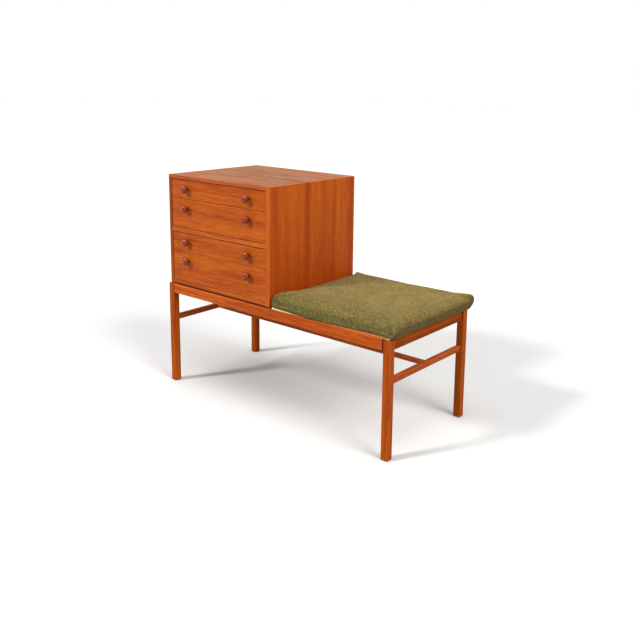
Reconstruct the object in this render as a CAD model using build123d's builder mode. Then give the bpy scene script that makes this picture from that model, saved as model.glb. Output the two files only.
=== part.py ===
from build123d import *

import os
from math import cos, radians, tan

# Telephone bench: a low teak bench frame with a chest of four drawers at its left
# end and a lift-off upholstered seat at its right end.
#
# +X runs along the bench to the right, -Y to the front and +Z up. The origin is on
# the floor, under the middle of the whole object's plan. Lengths are millimetres.

os.makedirs("parts", exist_ok=True)

# ---------------------------------------------------------------- driving sizes
# Bench frame
bench_length = 980.0          # over the outer faces of the legs
bench_depth = 430.0
frame_height = 368.0          # top of the legs and rails
leg_size = 25.0
leg_round = 3.0               # rounding of the legs' long edges
leg_ease = 1.5                # bevel at the foot of a leg
rail_height = 34.0
rail_round = 2.5
long_rail_thickness = 20.0
long_rail_set = 0.5           # face behind the legs' outer faces
end_rail_thickness = 18.0
end_rail_set = 5.0
shadow_gap = 2.0              # open joint between a leg and a rail's shoulder
rail_tenon_thickness = 8.0
rail_tenon_height = 22.0
rail_tenon_depth = 12.0       # long rails; the end rails stop short of it
tenon_wall = 1.0              # wood left between two tenons in one leg

# Stretchers
end_stretcher_width = 17.0
end_stretcher_height = 18.0
end_stretcher_top = 248.0     # height above the floor
end_stretcher_set = 1.0       # from the inner faces of the legs
long_stretcher_width = 20.0
long_stretcher_height = 12.0
long_stretcher_drop = 2.0     # its top below the end stretchers' tops
stretcher_round = 2.5
stretcher_tenon_depth = 10.0
stretcher_tenon_shoulder = 4.0

# Bearers across the frame
bearer_width = 28.0
bearer_height = 24.0
bearer_tenon_depth = 8.0
bearer_tenon_shoulder = 6.0
cabinet_lift = 4.0            # cabinet bearers stand this far above the rails
cabinet_bearer_inset = 40.0   # from the cabinet's outer faces

# Cabinet
cabinet_width = 491.0
cabinet_left_set = 11.0       # cabinet's side from the legs' left faces
cabinet_front_set = 2.0
cabinet_back_set = 0.0
side_thickness = 15.0
top_thickness = 12.0
bottom_thickness = 14.0
divider_thickness = 14.0
upper_bay_height = 172.0      # clear height above the divider
lower_bay_height = 176.0
housing_depth = 5.0           # boards let into the sides
housing_stop = 8.0            # housings stop short of the front edge
edge_ease = 1.0               # softened outer edges of the boards
back_thickness = 5.0
back_set = 1.0
back_lap = 8.0                # back panel's lap on the sides
back_lap_top = 6.0            # and on the top

# Drawers
shallow_front_height = 66.5
front_gap = 1.2               # round each drawer front
front_thickness = 18.0
front_set = 1.0               # drawer faces behind the cabinet's front edges
drawer_length = 405.0
drawer_side_thickness = 11.0
drawer_side_rise = 3.0        # sides start above the front's lower edge
drawer_side_drop = 8.0        # and end below its upper edge
drawer_back_thickness = 10.0
drawer_back_drop = 3.0
drawer_back_housing = 4.0
drawer_back_inset = 8.0       # sides run on behind the back
drawer_bottom_thickness = 4.0
drawer_bottom_rise = 8.0      # the groove runs through the lowest tail
drawer_bottom_groove = 5.0
tail_length = 13.0            # half-blind dovetails
tail_space = 12.0             # between two tails at their root
tail_angle = 10.0
tail_pitch = 34.0             # one tail for about this much height

# Drawer runners
runner_height = 10.0
runner_groove_depth = 6.0
runner_side_clearance = 0.8   # runner to the groove's floor
runner_top_clearance = 0.3    # the drawer hangs this far above its runner
runner_bottom_clearance = 0.5
runner_front_gap = 3.0        # behind the drawer front
runner_bevel = 2.0

# Knobs
knob_radius = 14.0
knob_reach = 24.5             # from the drawer's face to the knob's crown
knob_foot_radius = 6.8
knob_neck_radius = 6.0        # where the head swells from the neck
knob_neck_height = 7.6
knob_heel_radius = 12.3
knob_heel_height = 11.6
knob_rim_height = 16.0        # at the widest
knob_shoulder_radius = 11.4
knob_shoulder_height = 21.4
knob_spacing = 300.0
knob_drop = 31.0              # below a drawer front's upper edge

# Coach screws through the bearers
screw_clearance = 0.05
cabinet_screw_radius = 2.25
cabinet_screw_bite = 8.0
cabinet_screw_head_radius = 5.0
cabinet_screw_head_height = 3.0
cabinet_screw_inset = 60.0    # from the frame's front and back

# Seat
seat_board_thickness = 6.0
seat_board_left_gap = 5.0     # from the cabinet's side
seat_board_inset = 6.0        # from the frame's front, back and right faces
seat_board_corner = 4.0
batten_size = 18.0
batten_clearance = 1.0        # to the rails and legs that the battens drop between
batten_left_inset = 6.0       # left batten from the board's left edge
cushion_left_gap = 4.0        # from the cabinet's side
cushion_right_reach = 16.0    # beyond the frame's right face
cushion_front_reach = 1.0
cushion_back_reach = 12.0
cushion_height = 50.0         # board to crown
cushion_corner = 26.0
cushion_draw_in = 5.0         # sides pull in between the corners
cushion_rim_height = 34.0     # board to the edge where the crown starts
cushion_belly_height = 15.0   # where the sides stand out furthest
cushion_foot_inset = 8.0      # underside's outline within the widest one
cushion_rim_inset = 1.5
crown_run = 150.0             # width of the crown's slope, in from the rim
crown_fullness = 2.5          # exponent: higher is flatter on top and rounder at the rim
crown_steps = 3

# ---------------------------------------------------------------- derived places
# The origin lies under the middle of the whole object, knobs and cushion included.
knob_front_reach = knob_reach - cabinet_front_set - front_set
frame_x = -cushion_right_reach / 2
frame_y = (knob_front_reach - cushion_back_reach) / 2
frame_left = frame_x - bench_length / 2
frame_right = frame_x + bench_length / 2
frame_front = frame_y - bench_depth / 2
frame_back = frame_y + bench_depth / 2

rail_z = frame_height - rail_height / 2
long_rail_span = bench_length - 2 * (leg_size + shadow_gap)
long_rail_offset = bench_depth / 2 - long_rail_set - long_rail_thickness / 2
long_rail_inner = bench_depth / 2 - long_rail_set - long_rail_thickness
end_rail_span = bench_depth - 2 * (leg_size + shadow_gap)
end_rail_offset = bench_length / 2 - end_rail_set - end_rail_thickness / 2
end_tenon_depth = (leg_size - long_rail_set - tenon_wall
                   - (long_rail_thickness + rail_tenon_thickness) / 2)

end_stretcher_offset = bench_length / 2 - leg_size + end_stretcher_set + end_stretcher_width / 2
end_stretcher_span = bench_depth - 2 * leg_size
end_stretcher_z = end_stretcher_top - end_stretcher_height / 2
stretcher_tenon_width = end_stretcher_width - 2 * stretcher_tenon_shoulder
stretcher_tenon_height = end_stretcher_height - 2 * stretcher_tenon_shoulder
long_stretcher_z = end_stretcher_top - long_stretcher_drop - long_stretcher_height / 2
long_stretcher_span = 2 * end_stretcher_offset - end_stretcher_width
long_tenon_width = long_stretcher_width - stretcher_tenon_shoulder
long_tenon_height = long_stretcher_height - stretcher_tenon_shoulder

cabinet_left = frame_left + cabinet_left_set
cabinet_right = cabinet_left + cabinet_width
cabinet_x = (cabinet_left + cabinet_right) / 2
cabinet_front = frame_front + cabinet_front_set
cabinet_back = frame_back - cabinet_back_set
cabinet_base = frame_height + cabinet_lift
bay_left = cabinet_left + side_thickness
bay_right = cabinet_right - side_thickness
lower_bay_base = cabinet_base + bottom_thickness
divider_base = lower_bay_base + lower_bay_height
upper_bay_base = divider_base + divider_thickness
top_base = upper_bay_base + upper_bay_height
cabinet_top = top_base + top_thickness
board_back = cabinet_back - back_set - back_thickness

drawer_face = cabinet_front + front_set
front_inner = drawer_face + front_thickness
drawer_left = bay_left + front_gap
drawer_right = bay_right - front_gap
drawer_end = drawer_face + drawer_length
drawer_back_rear = drawer_end - drawer_back_inset
drawer_back_front = drawer_back_rear - drawer_back_thickness
box_left = drawer_left + drawer_side_thickness
box_right = drawer_right - drawer_side_thickness
runner_reach = front_gap + runner_groove_depth - runner_side_clearance

bearer_span = 2 * long_rail_inner
cabinet_bearer_top = cabinet_base
cabinet_bearer_places = {
    "cabinet_bearer_left": cabinet_left + cabinet_bearer_inset + bearer_width / 2,
    "cabinet_bearer_right": cabinet_right - cabinet_bearer_inset - bearer_width / 2,
}
seat_left = cabinet_right + seat_board_left_gap
seat_right = frame_right - seat_board_inset
seat_front = frame_front + seat_board_inset
seat_back = frame_back - seat_board_inset
seat_bearer_x = (seat_left + seat_right) / 2
seat_top = frame_height + seat_board_thickness
bearer_tenon_z = frame_height - bearer_height / 2
bearer_tenon_height = bearer_height - 2 * bearer_tenon_shoulder
bearer_tenon_width = bearer_width - 2 * bearer_tenon_shoulder
batten_places = (seat_left + batten_left_inset + batten_size / 2,
                 frame_right - leg_size - batten_clearance - batten_size / 2)

cushion_left = cabinet_right + cushion_left_gap
cushion_right = frame_right + cushion_right_reach
cushion_front = frame_front - cushion_front_reach
cushion_back = frame_back + cushion_back_reach
cushion_sections = [(0.0, cushion_foot_inset), (cushion_belly_height, 0.0)]
for step in range(crown_steps + 1):
    slope_share = (step / crown_steps) ** 2
    crown_share = (1 - (1 - slope_share) ** crown_fullness) ** (1 / crown_fullness)
    cushion_sections.append((cushion_rim_height + crown_share * (cushion_height - cushion_rim_height),
                             cushion_rim_inset + crown_run * slope_share))


def front_plane(y):
    """A vertical plane at depth y: its x runs along +X, its y up, its normal to the front."""
    return Plane.XZ.offset(-y)


def save(part, name):
    """Label a finished piece and write it under that name."""
    part.label = name
    export_step(part, f"parts/{name}.step")


# ---------------------------------------------------------------- bench frame
def make_leg(name, side_x, side_y):
    """A square leg, mortised on its two inner faces for the rails and the end stretcher.

    side_x is -1 at the left and 1 at the right, side_y is -1 at the front and 1 at the back.
    """
    leg_x = frame_x + side_x * (bench_length - leg_size) / 2
    leg_y = frame_y + side_y * (bench_depth - leg_size) / 2
    inner_x = leg_x - side_x * leg_size / 2
    inner_y = leg_y - side_y * leg_size / 2
    with BuildPart() as leg:
        with BuildSketch(Plane.XY):
            with Locations((leg_x, leg_y)):
                RectangleRounded(leg_size, leg_size, leg_round)
        extrude(amount=frame_height)
        chamfer(leg.edges().group_by(Axis.Z)[0], length=leg_ease)
        with BuildSketch(Plane.YZ.offset(inner_x)):
            with Locations((frame_y + side_y * long_rail_offset, rail_z)):
                Rectangle(rail_tenon_thickness, rail_tenon_height)
        extrude(amount=side_x * rail_tenon_depth, mode=Mode.SUBTRACT)
        with BuildSketch(front_plane(inner_y)):
            with Locations((frame_x + side_x * end_rail_offset, rail_z)):
                Rectangle(rail_tenon_thickness, rail_tenon_height)
        extrude(amount=-side_y * end_tenon_depth, mode=Mode.SUBTRACT)
        with BuildSketch(front_plane(inner_y)):
            with Locations((frame_x + side_x * end_stretcher_offset, end_stretcher_z)):
                Rectangle(stretcher_tenon_width, stretcher_tenon_height)
        extrude(amount=-side_y * stretcher_tenon_depth, mode=Mode.SUBTRACT)
    save(leg.part, name)


def make_long_rail(name, side_y, bearer_places):
    """A front or back rail: rounded bar, tenons into the legs, mortises for the bearers."""
    rail_y = frame_y + side_y * long_rail_offset
    with BuildPart() as rail:
        with BuildSketch(Plane.YZ.offset(frame_x - long_rail_span / 2)):
            with Locations((rail_y, rail_z)):
                RectangleRounded(long_rail_thickness, rail_height, rail_round)
        extrude(amount=long_rail_span)
        with BuildSketch(Plane.YZ.offset(frame_x)):
            with Locations((rail_y, rail_z)):
                Rectangle(rail_tenon_thickness, rail_tenon_height)
        extrude(amount=long_rail_span / 2 + shadow_gap + rail_tenon_depth, both=True)
        with BuildSketch(front_plane(frame_y + side_y * long_rail_inner)):
            with Locations([(place, bearer_tenon_z) for place in bearer_places]):
                Rectangle(bearer_tenon_width, bearer_tenon_height)
        extrude(amount=-side_y * bearer_tenon_depth, mode=Mode.SUBTRACT)
    save(rail.part, name)


def make_end_rail(name, side_x):
    """A short rail at one end, set back from the legs' outer faces."""
    rail_x = frame_x + side_x * end_rail_offset
    with BuildPart() as rail:
        with BuildSketch(front_plane(frame_y - end_rail_span / 2)):
            with Locations((rail_x, rail_z)):
                RectangleRounded(end_rail_thickness, rail_height, rail_round)
        extrude(amount=-end_rail_span)
        with BuildSketch(front_plane(frame_y)):
            with Locations((rail_x, rail_z)):
                Rectangle(rail_tenon_thickness, rail_tenon_height)
        extrude(amount=end_rail_span / 2 + shadow_gap + end_tenon_depth, both=True)
    save(rail.part, name)


def make_end_stretcher(name, side_x):
    """The low bar between a front and a back leg, mortised for the long stretcher."""
    stretcher_x = frame_x + side_x * end_stretcher_offset
    with BuildPart() as stretcher:
        with BuildSketch(front_plane(frame_y - end_stretcher_span / 2)):
            with Locations((stretcher_x, end_stretcher_z)):
                RectangleRounded(end_stretcher_width, end_stretcher_height, stretcher_round)
        extrude(amount=-end_stretcher_span)
        with BuildSketch(front_plane(frame_y)):
            with Locations((stretcher_x, end_stretcher_z)):
                Rectangle(stretcher_tenon_width, stretcher_tenon_height)
        extrude(amount=end_stretcher_span / 2 + stretcher_tenon_depth, both=True)
        with BuildSketch(Plane.YZ.offset(stretcher_x - side_x * end_stretcher_width / 2)):
            with Locations((frame_y, long_stretcher_z)):
                Rectangle(long_tenon_width, long_tenon_height)
        extrude(amount=side_x * stretcher_tenon_depth, mode=Mode.SUBTRACT)
    save(stretcher.part, name)


def make_long_stretcher():
    """The flat bar that ties the two end stretchers together."""
    with BuildPart() as stretcher:
        with BuildSketch(Plane.YZ.offset(frame_x - long_stretcher_span / 2)):
            with Locations((frame_y, long_stretcher_z)):
                RectangleRounded(long_stretcher_width, long_stretcher_height, stretcher_round)
        extrude(amount=long_stretcher_span)
        with BuildSketch(Plane.YZ.offset(frame_x)):
            with Locations((frame_y, long_stretcher_z)):
                Rectangle(long_tenon_width, long_tenon_height)
        extrude(amount=long_stretcher_span / 2 + stretcher_tenon_depth, both=True)
    save(stretcher.part, "long_stretcher")


def cabinet_screw_places(bearer_x):
    """Where the screws pass through one cabinet bearer."""
    return [(bearer_x, frame_front + cabinet_screw_inset),
            (bearer_x, frame_back - cabinet_screw_inset)]


def make_bearer(name, bearer_x, top, screw_places):
    """A cross bar tenoned between the long rails, drilled where the cabinet is screwed down."""
    with BuildPart() as bearer:
        with Locations((bearer_x, frame_y, top)):
            Box(bearer_width, bearer_span, bearer_height, align=(Align.CENTER, Align.CENTER, Align.MAX))
        with Locations((bearer_x, frame_y, bearer_tenon_z)):
            Box(bearer_tenon_width, bearer_span + 2 * bearer_tenon_depth, bearer_tenon_height)
        if screw_places:
            with BuildSketch(Plane.XY.offset(top - bearer_height)):
                with Locations(screw_places):
                    Circle(cabinet_screw_radius + screw_clearance)
            extrude(amount=bearer_height, mode=Mode.SUBTRACT)
    save(bearer.part, name)


# ---------------------------------------------------------------- cabinet
def draw_back_recess():
    """The back panel's outline, in the sketch being drawn."""
    with Locations((cabinet_x, cabinet_base)):
        Rectangle(bay_right - bay_left + 2 * back_lap, top_base + back_lap_top - cabinet_base,
                  align=(Align.CENTER, Align.MIN))


def make_cabinet_side(name, inner_x, outer_x):
    """A side board: mitred to the top, housed for the divider and the bottom."""
    inward = 1 if inner_x > outer_x else -1
    with BuildPart() as side:
        with BuildSketch(front_plane(cabinet_front)):
            Polygon((outer_x, cabinet_base), (inner_x, cabinet_base), (inner_x, top_base),
                    (outer_x, cabinet_top), align=None)
        extrude(amount=-(cabinet_back - cabinet_front))
        outer_edges = side.edges().filter_by(Axis.Z).group_by(Axis.X)[0 if inward > 0 else -1]
        fillet(outer_edges, radius=edge_ease)
        with BuildSketch(Plane.YZ.offset(inner_x)):
            for base, thickness in ((cabinet_base, bottom_thickness), (divider_base, divider_thickness)):
                with Locations((cabinet_front + housing_stop, base)):
                    Rectangle(board_back - cabinet_front - housing_stop, thickness, align=Align.MIN)
        extrude(amount=-inward * housing_depth, mode=Mode.SUBTRACT)
        with BuildSketch(front_plane(cabinet_back)):
            draw_back_recess()
        extrude(amount=cabinet_back - board_back, mode=Mode.SUBTRACT)
    save(side.part, name)


def make_cabinet_top():
    """The top board, mitred at both ends."""
    with BuildPart() as top:
        with BuildSketch(front_plane(cabinet_front)):
            Polygon((bay_left, top_base), (bay_right, top_base), (cabinet_right, cabinet_top),
                    (cabinet_left, cabinet_top), align=None)
        extrude(amount=-(cabinet_back - cabinet_front))
        upper_edges = top.edges().filter_by(Axis.X).group_by(Axis.Z)[-1]
        fillet(upper_edges, radius=edge_ease)
        with BuildSketch(front_plane(cabinet_back)):
            draw_back_recess()
        extrude(amount=cabinet_back - board_back, mode=Mode.SUBTRACT)
    save(top.part, "cabinet_top")


def make_cabinet_shelf(name, base, thickness, screw_places):
    """The bottom or the divider: tongued into the sides, its tongues stopped at the front."""
    with BuildPart() as shelf:
        with BuildSketch(Plane.XY.offset(base)):
            with Locations((cabinet_x, cabinet_front)):
                Rectangle(bay_right - bay_left, board_back - cabinet_front, align=(Align.CENTER, Align.MIN))
            with Locations((cabinet_x, cabinet_front + housing_stop)):
                Rectangle(bay_right - bay_left + 2 * housing_depth,
                          board_back - cabinet_front - housing_stop, align=(Align.CENTER, Align.MIN))
        extrude(amount=thickness)
        if screw_places:
            with BuildSketch(Plane.XY.offset(base)):
                with Locations(screw_places):
                    Circle(cabinet_screw_radius + screw_clearance)
            extrude(amount=cabinet_screw_bite, mode=Mode.SUBTRACT)
    save(shelf.part, name)


def make_cabinet_back():
    """The plywood back panel, let into a rebate all round."""
    with BuildPart() as back:
        with BuildSketch(front_plane(board_back)):
            draw_back_recess()
        extrude(amount=-back_thickness)
    save(back.part, "cabinet_back")


def make_runners(name, runner_base):
    """A drawer's two hardwood runners, one on each side board."""
    with BuildPart() as runners:
        for wall, inward in ((bay_left, 1), (bay_right, -1)):
            front = front_inner + runner_front_gap
            with BuildSketch(Plane.XY.offset(runner_base)):
                Polygon((wall, front), (wall, board_back), (wall + inward * runner_reach, board_back),
                        (wall + inward * runner_reach, front + runner_bevel),
                        (wall + inward * (runner_reach - runner_bevel), front), align=None)
            extrude(amount=runner_height)
    save(runners.part, name)


# ---------------------------------------------------------------- drawers
def draw_tails(side_base, side_height):
    """Dovetails on a drawer side, drawn in the side's own plane: narrow at their root."""
    count = max(2, round(side_height / tail_pitch))
    pitch = side_height / count
    root = (pitch - tail_space) / 2
    tip = root + tail_length * tan(radians(tail_angle))
    for index in range(count):
        middle = side_base + (index + 0.5) * pitch
        Polygon((front_inner, middle - root), (front_inner, middle + root),
                (front_inner - tail_length, middle + tip), (front_inner - tail_length, middle - tip),
                align=None)


def make_drawer_front(name, base, height):
    """A drawer front with half-blind dovetail sockets and a groove for the bottom."""
    side_base = base + drawer_side_rise
    side_height = height - drawer_side_rise - drawer_side_drop
    with BuildPart() as front:
        with BuildSketch(front_plane(drawer_face)):
            with Locations((cabinet_x, base)):
                Rectangle(drawer_right - drawer_left, height, align=(Align.CENTER, Align.MIN))
        extrude(amount=-front_thickness)
        chamfer(front.faces().sort_by(Axis.Y)[0].edges(), length=edge_ease)
        for end, inward in ((drawer_left, 1), (drawer_right, -1)):
            with BuildSketch(Plane.YZ.offset(end)):
                draw_tails(side_base, side_height)
            extrude(amount=inward * drawer_side_thickness, mode=Mode.SUBTRACT)
        with BuildSketch(front_plane(front_inner)):
            with Locations((cabinet_x, side_base + drawer_bottom_rise)):
                Rectangle(box_right - box_left, drawer_bottom_thickness, align=(Align.CENTER, Align.MIN))
        extrude(amount=drawer_bottom_groove, mode=Mode.SUBTRACT)
    save(front.part, name)


def make_drawer_side(name, outer_x, inward, base, height, runner_base):
    """A drawer side: tails at the front, grooves for its runner and the bottom, a housing for the back."""
    side_base = base + drawer_side_rise
    side_height = height - drawer_side_rise - drawer_side_drop
    inner_x = outer_x + inward * drawer_side_thickness
    with BuildPart() as side:
        with BuildSketch(Plane.YZ.offset(outer_x)):
            with Locations((front_inner, side_base)):
                Rectangle(drawer_end - front_inner, side_height, align=Align.MIN)
            draw_tails(side_base, side_height)
        extrude(amount=inward * drawer_side_thickness)
        with BuildSketch(Plane.YZ.offset(outer_x)):
            with Locations((front_inner, runner_base - runner_bottom_clearance)):
                Rectangle(drawer_end - front_inner,
                          runner_height + runner_top_clearance + runner_bottom_clearance, align=Align.MIN)
        extrude(amount=inward * runner_groove_depth, mode=Mode.SUBTRACT)
        with BuildSketch(Plane.YZ.offset(inner_x)):
            with Locations((front_inner - drawer_bottom_groove, side_base + drawer_bottom_rise)):
                Rectangle(drawer_end - front_inner + drawer_bottom_groove, drawer_bottom_thickness,
                          align=Align.MIN)
        extrude(amount=-inward * drawer_bottom_groove, mode=Mode.SUBTRACT)
        with BuildSketch(Plane.YZ.offset(inner_x)):
            with Locations((drawer_back_front, side_base + drawer_bottom_rise)):
                Rectangle(drawer_back_thickness, side_height - drawer_bottom_rise, align=Align.MIN)
        extrude(amount=-inward * drawer_back_housing, mode=Mode.SUBTRACT)
    save(side.part, name)


def make_drawer_back(name, base, height):
    """A drawer back, housed in the sides and standing on the bottom panel."""
    back_base = base + drawer_side_rise + drawer_bottom_rise + drawer_bottom_thickness
    back_top = base + height - drawer_side_drop - drawer_back_drop
    with BuildPart() as back:
        with BuildSketch(front_plane(drawer_back_front)):
            with Locations((cabinet_x, back_base)):
                Rectangle(box_right - box_left + 2 * drawer_back_housing, back_top - back_base,
                          align=(Align.CENTER, Align.MIN))
        extrude(amount=-drawer_back_thickness)
    save(back.part, name)


def make_drawer_bottom(name, base):
    """A thin plywood bottom, slid in under the back."""
    with BuildPart() as bottom:
        with BuildSketch(Plane.XY.offset(base + drawer_side_rise + drawer_bottom_rise)):
            with Locations((cabinet_x, front_inner - drawer_bottom_groove)):
                Rectangle(box_right - box_left + 2 * drawer_bottom_groove,
                          drawer_back_rear - front_inner + drawer_bottom_groove,
                          align=(Align.CENTER, Align.MIN))
        extrude(amount=drawer_bottom_thickness)
    save(bottom.part, name)


def knob_places(front_top):
    """The two knobs of a drawer, as x and z on its face."""
    return [(cabinet_x - knob_spacing / 2, front_top - knob_drop),
            (cabinet_x + knob_spacing / 2, front_top - knob_drop)]


def turning_plane(x, y, z):
    """The plane of a turned piece's half profile: its x is the radius, its y runs to the front."""
    return Plane(origin=(x, y, z), x_dir=(1, 0, 0), z_dir=(0, 0, -1))


def make_knobs(name, front_top):
    """Two turned knobs: a short neck and a full, slightly flattened head."""
    with BuildPart() as knobs:
        for x, z in knob_places(front_top):
            with BuildSketch(turning_plane(x, drawer_face, z)):
                with BuildLine():
                    Polyline((0, 0), (knob_foot_radius, 0), (knob_neck_radius, knob_neck_height),
                             (knob_heel_radius, knob_heel_height), (knob_radius, knob_rim_height),
                             (knob_shoulder_radius, knob_shoulder_height), (0, knob_reach), (0, 0))
                make_face()
            revolve(axis=Axis((x, drawer_face, z), (0, -1, 0)), revolution_arc=360)
    save(knobs.part, name)


def make_drawer(number, base, height):
    """All the pieces of one drawer and the runners that carry it."""
    drawer = f"drawer_{number}"
    side_height = height - drawer_side_rise - drawer_side_drop
    runner_base = base + drawer_side_rise + (side_height - runner_height) / 2
    make_drawer_front(f"{drawer}_front", base, height)
    make_drawer_side(f"{drawer}_side_left", drawer_left, 1, base, height, runner_base)
    make_drawer_side(f"{drawer}_side_right", drawer_right, -1, base, height, runner_base)
    make_drawer_back(f"{drawer}_back", base, height)
    make_drawer_bottom(f"{drawer}_bottom", base)
    make_knobs(f"{drawer}_knobs", base + height)
    make_runners(f"{drawer}_runners", runner_base)


# ---------------------------------------------------------------- fasteners
def make_cabinet_screws():
    """Coach screws up through the bearers into the cabinet's bottom."""
    places = [place for x in cabinet_bearer_places.values() for place in cabinet_screw_places(x)]
    under = cabinet_bearer_top - bearer_height
    with BuildPart() as screws:
        with BuildSketch(Plane.XY.offset(under)):
            with Locations(places):
                Circle(cabinet_screw_radius)
        extrude(amount=bearer_height + cabinet_screw_bite)
        with BuildSketch(Plane.XY.offset(under)):
            with Locations(places):
                RegularPolygon(cabinet_screw_head_radius, side_count=6)
        extrude(amount=-cabinet_screw_head_height)
    save(screws.part, "cabinet_screws")


# ---------------------------------------------------------------- seat
def make_seat_board():
    """The plywood base of the seat, resting on the rails and the middle bearer."""
    with BuildPart() as board:
        with BuildSketch(Plane.XY.offset(frame_height)):
            with Locations((seat_left, seat_front)):
                Rectangle(seat_right - seat_left, seat_back - seat_front, align=Align.MIN)
        extrude(amount=seat_board_thickness)
        fillet(board.edges().filter_by(Axis.Z), radius=seat_board_corner)
    save(board.part, "seat_board")


def make_seat_battens():
    """Two battens glued under the board, which drop between the long rails and hold the seat."""
    length = bearer_span - 2 * batten_clearance
    with BuildPart() as battens:
        for x in batten_places:
            with Locations((x, frame_y, frame_height)):
                Box(batten_size, length, batten_size, align=(Align.CENTER, Align.CENTER, Align.MAX))
        chamfer(battens.edges().group_by(Axis.Z)[0], length=edge_ease)
    save(battens.part, "seat_battens")


def make_seat_cushion():
    """A crowned seat pad: flat under, full at the rim, sides pulled in between the corners."""
    middle = ((cushion_left + cushion_right) / 2, (cushion_front + cushion_back) / 2)
    with BuildPart() as cushion:
        for height, inset in cushion_sections:
            half_x = (cushion_right - cushion_left) / 2 - inset
            half_y = (cushion_back - cushion_front) / 2 - inset
            bulge = cushion_corner * (1 - cos(radians(45)))
            with BuildSketch(Plane((middle[0], middle[1], seat_top + height))):
                with BuildLine():
                    for sx, sy in ((1, 1), (-1, 1), (-1, -1), (1, -1)):
                        ThreePointArc((sx * half_x, sy * (half_y - cushion_corner)),
                                      (sx * (half_x - bulge), sy * (half_y - bulge)),
                                      (sx * (half_x - cushion_corner), sy * half_y))
                    for side in (1, -1):
                        ThreePointArc((side * half_x, cushion_corner - half_y),
                                      (side * (half_x - cushion_draw_in), 0),
                                      (side * half_x, half_y - cushion_corner))
                        ThreePointArc((cushion_corner - half_x, side * half_y),
                                      (0, side * (half_y - cushion_draw_in)),
                                      (half_x - cushion_corner, side * half_y))
                make_face()
        loft(ruled=True)
    save(cushion.part, "seat_cushion")


# ---------------------------------------------------------------- the whole bench
corners = {"front_left": (-1, -1), "front_right": (1, -1), "back_left": (-1, 1), "back_right": (1, 1)}
for corner_name, (side_x, side_y) in corners.items():
    make_leg(f"leg_{corner_name}", side_x, side_y)

all_bearers = [*cabinet_bearer_places.values(), seat_bearer_x]
make_long_rail("front_rail", -1, all_bearers)
make_long_rail("back_rail", 1, all_bearers)
make_end_rail("end_rail_left", -1)
make_end_rail("end_rail_right", 1)
make_end_stretcher("end_stretcher_left", -1)
make_end_stretcher("end_stretcher_right", 1)
make_long_stretcher()
for bearer_name, bearer_x in cabinet_bearer_places.items():
    make_bearer(bearer_name, bearer_x, cabinet_bearer_top, cabinet_screw_places(bearer_x))
make_bearer("seat_bearer", seat_bearer_x, frame_height, [])

make_cabinet_side("cabinet_side_left", bay_left, cabinet_left)
make_cabinet_side("cabinet_side_right", bay_right, cabinet_right)
make_cabinet_top()
bottom_screws = [place for x in cabinet_bearer_places.values() for place in cabinet_screw_places(x)]
make_cabinet_shelf("cabinet_bottom", cabinet_base, bottom_thickness, bottom_screws)
make_cabinet_shelf("cabinet_divider", divider_base, divider_thickness, [])
make_cabinet_back()
make_cabinet_screws()

# Each bay holds a shallow drawer above a deep one.
bays = ((1, upper_bay_base, upper_bay_height), (3, lower_bay_base, lower_bay_height))
for first_number, bay_base, bay_height in bays:
    deep_front_height = bay_height - shallow_front_height - 3 * front_gap
    shallow_base = bay_base + 2 * front_gap + deep_front_height
    make_drawer(first_number, shallow_base, shallow_front_height)
    make_drawer(first_number + 1, bay_base + front_gap, deep_front_height)

make_seat_board()
make_seat_battens()
make_seat_cushion()
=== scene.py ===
"""Telephone bench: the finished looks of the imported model, in teak, beech, plywood and wool.

The file is laid out as an add-on: a panel in the 3D view's sidebar lists an operator for each
group of pieces, and main() runs them all in order.
"""
import math

import bmesh
import bpy
from mathutils import Matrix, Vector, noise


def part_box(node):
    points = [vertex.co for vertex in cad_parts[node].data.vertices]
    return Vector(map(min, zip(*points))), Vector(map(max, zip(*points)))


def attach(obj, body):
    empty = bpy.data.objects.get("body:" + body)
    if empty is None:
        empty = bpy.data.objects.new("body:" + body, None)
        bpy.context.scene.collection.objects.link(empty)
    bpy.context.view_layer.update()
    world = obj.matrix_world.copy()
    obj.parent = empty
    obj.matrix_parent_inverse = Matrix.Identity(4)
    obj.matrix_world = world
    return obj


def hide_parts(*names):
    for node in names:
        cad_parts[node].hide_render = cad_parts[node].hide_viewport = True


bl_info = {
    "name": "Telephone bench",
    "version": (1, 0, 0),
    "blender": (4, 5, 0),
    "location": "View3D > Sidebar > Bench",
    "description": "Finishes for a teak telephone bench with four drawers and an upholstered seat",
    "category": "Object",
}

MM = 0.001
DRAWERS = ("drawer_1", "drawer_2", "drawer_3", "drawer_4")
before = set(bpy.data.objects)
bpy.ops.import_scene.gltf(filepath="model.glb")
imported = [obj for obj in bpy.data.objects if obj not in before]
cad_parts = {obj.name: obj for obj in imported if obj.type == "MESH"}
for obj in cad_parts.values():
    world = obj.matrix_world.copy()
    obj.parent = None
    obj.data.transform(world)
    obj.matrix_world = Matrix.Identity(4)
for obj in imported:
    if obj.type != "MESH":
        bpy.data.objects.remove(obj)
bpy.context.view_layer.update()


def linear(hex_colour):
    """An sRGB hex colour as linear red, green and blue, with an alpha of one."""
    channels = []
    for start in (1, 3, 5):
        value = int(hex_colour[start:start + 2], 16) / 255
        channels.append(value / 12.92 if value <= 0.04045 else ((value + 0.055) / 1.055) ** 2.4)
    return (*channels, 1.0)


def colour_prop(name, description, hex_colour):
    """A colour that a user may change."""
    return bpy.props.FloatVectorProperty(name=name, description=description, subtype="COLOR",
                                         size=4, min=0.0, max=1.0, default=linear(hex_colour))


def length_prop(name, description, millimetres):
    """A length that a user may change."""
    return bpy.props.FloatProperty(name=name, description=description, unit="LENGTH", min=0.0,
                                   precision=5, default=millimetres * MM)


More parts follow.
